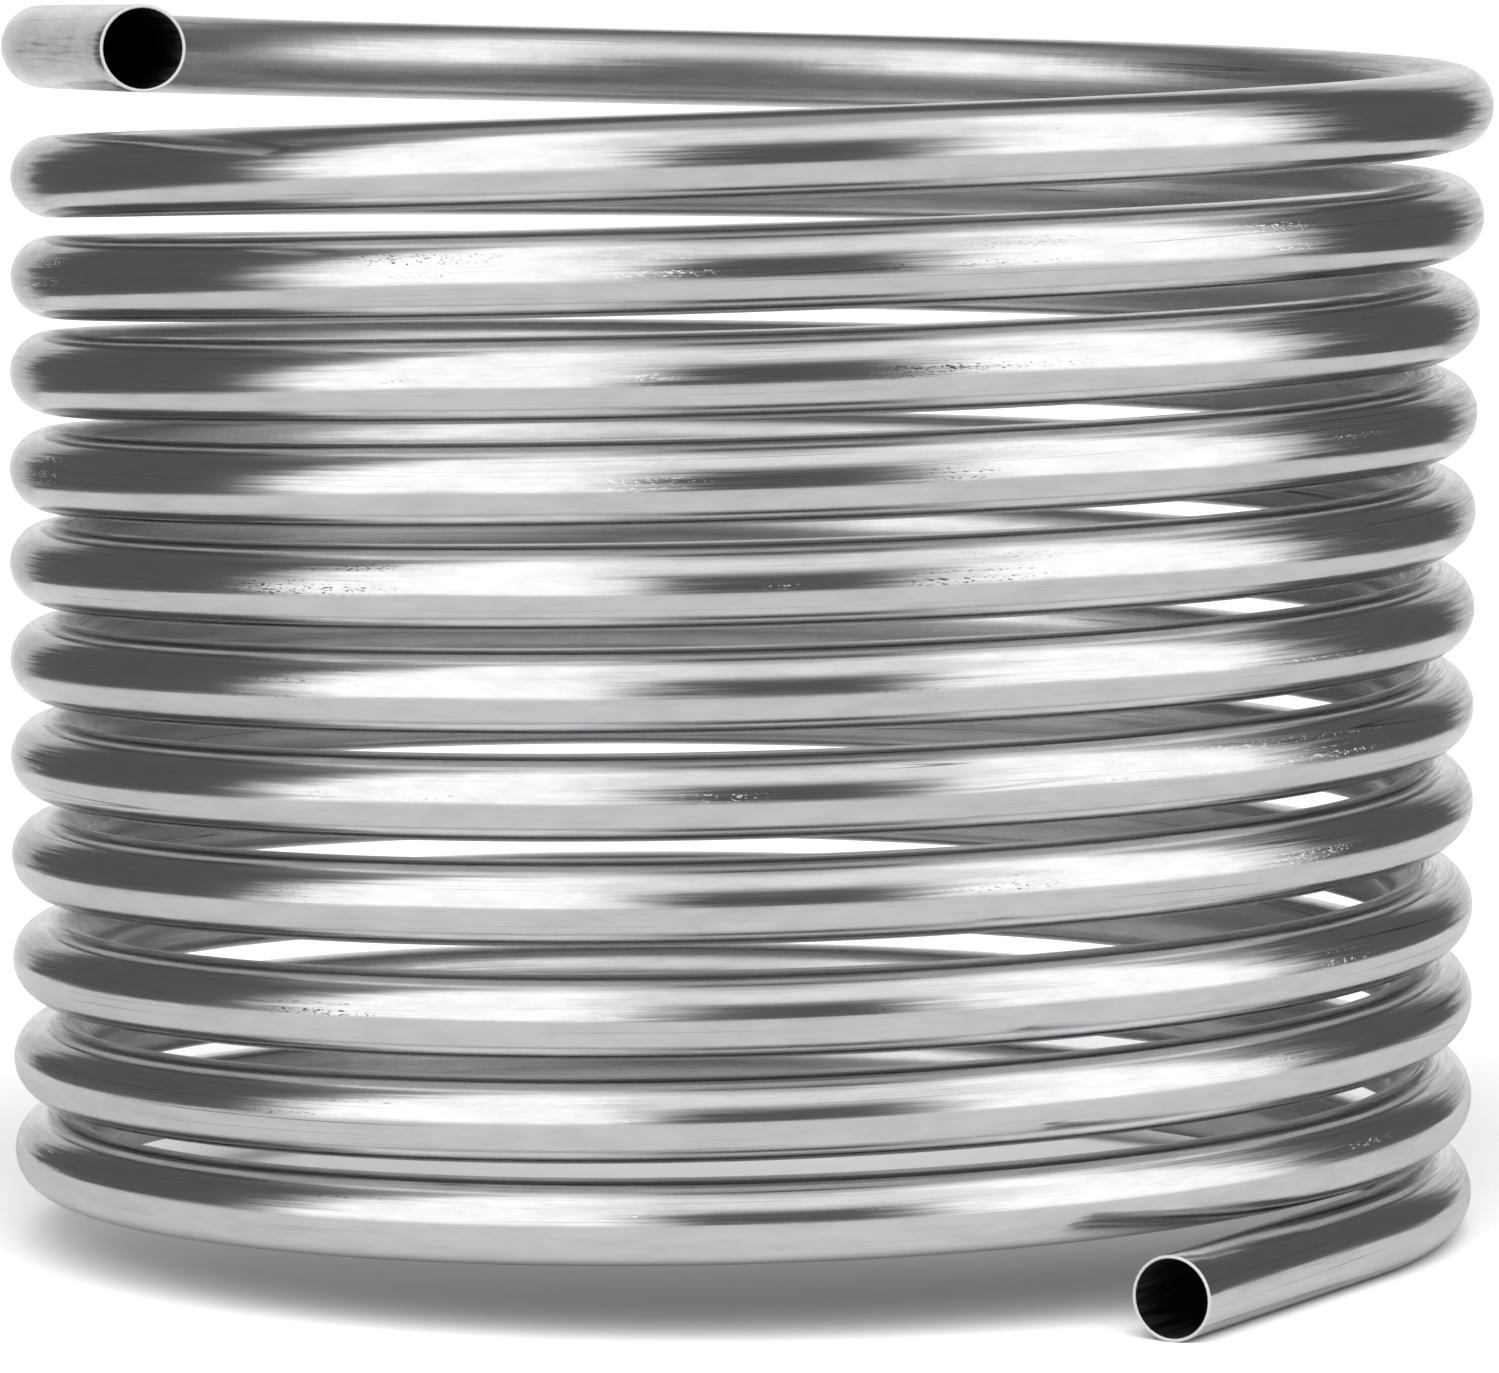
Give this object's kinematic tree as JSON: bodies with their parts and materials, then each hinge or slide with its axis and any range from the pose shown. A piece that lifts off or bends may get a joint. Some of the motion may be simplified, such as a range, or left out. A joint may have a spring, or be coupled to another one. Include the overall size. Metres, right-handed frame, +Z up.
{
  "type": "immersion wort chiller",
  "caption": "Bare stainless-steel tube wound into an open, free-standing right-hand coil with short level straight ends, stood in hot wort to chill it with running water.",
  "frame": {"origin": "on the surface that the coil stands on, at the coil's axis", "axes": "+Z up along the coil's axis, -Y towards the side that both free ends point to, +X to the side where the tube leaves at the bottom"},
  "size_m": [0.2328, 0.2319, 0.193],
  "materials": {
    "stainless_tube": "bright drawn stainless steel with fine lengthwise draw lines"
  },
  "bodies": {
    "root": {"top_end": "stainless_tube", "half_turn_01": "stainless_tube", "half_turn_02": "stainless_tube", "half_turn_03": "stainless_tube", "half_turn_04": "stainless_tube", "half_turn_05": "stainless_tube", "half_turn_06": "stainless_tube", "half_turn_07": "stainless_tube", "half_turn_08": "stainless_tube", "half_turn_09": "stainless_tube", "half_turn_10": "stainless_tube", "half_turn_11": "stainless_tube", "half_turn_12": "stainless_tube", "half_turn_13": "stainless_tube", "half_turn_14": "stainless_tube", "half_turn_15": "stainless_tube", "half_turn_16": "stainless_tube", "half_turn_17": "stainless_tube", "half_turn_18": "stainless_tube", "half_turn_19": "stainless_tube", "half_turn_20": "stainless_tube", "half_turn_21": "stainless_tube", "half_turn_22": "stainless_tube", "half_turn_23": "stainless_tube", "half_turn_24": "stainless_tube", "bottom_end": "stainless_tube"}
  },
  "joints": []
}
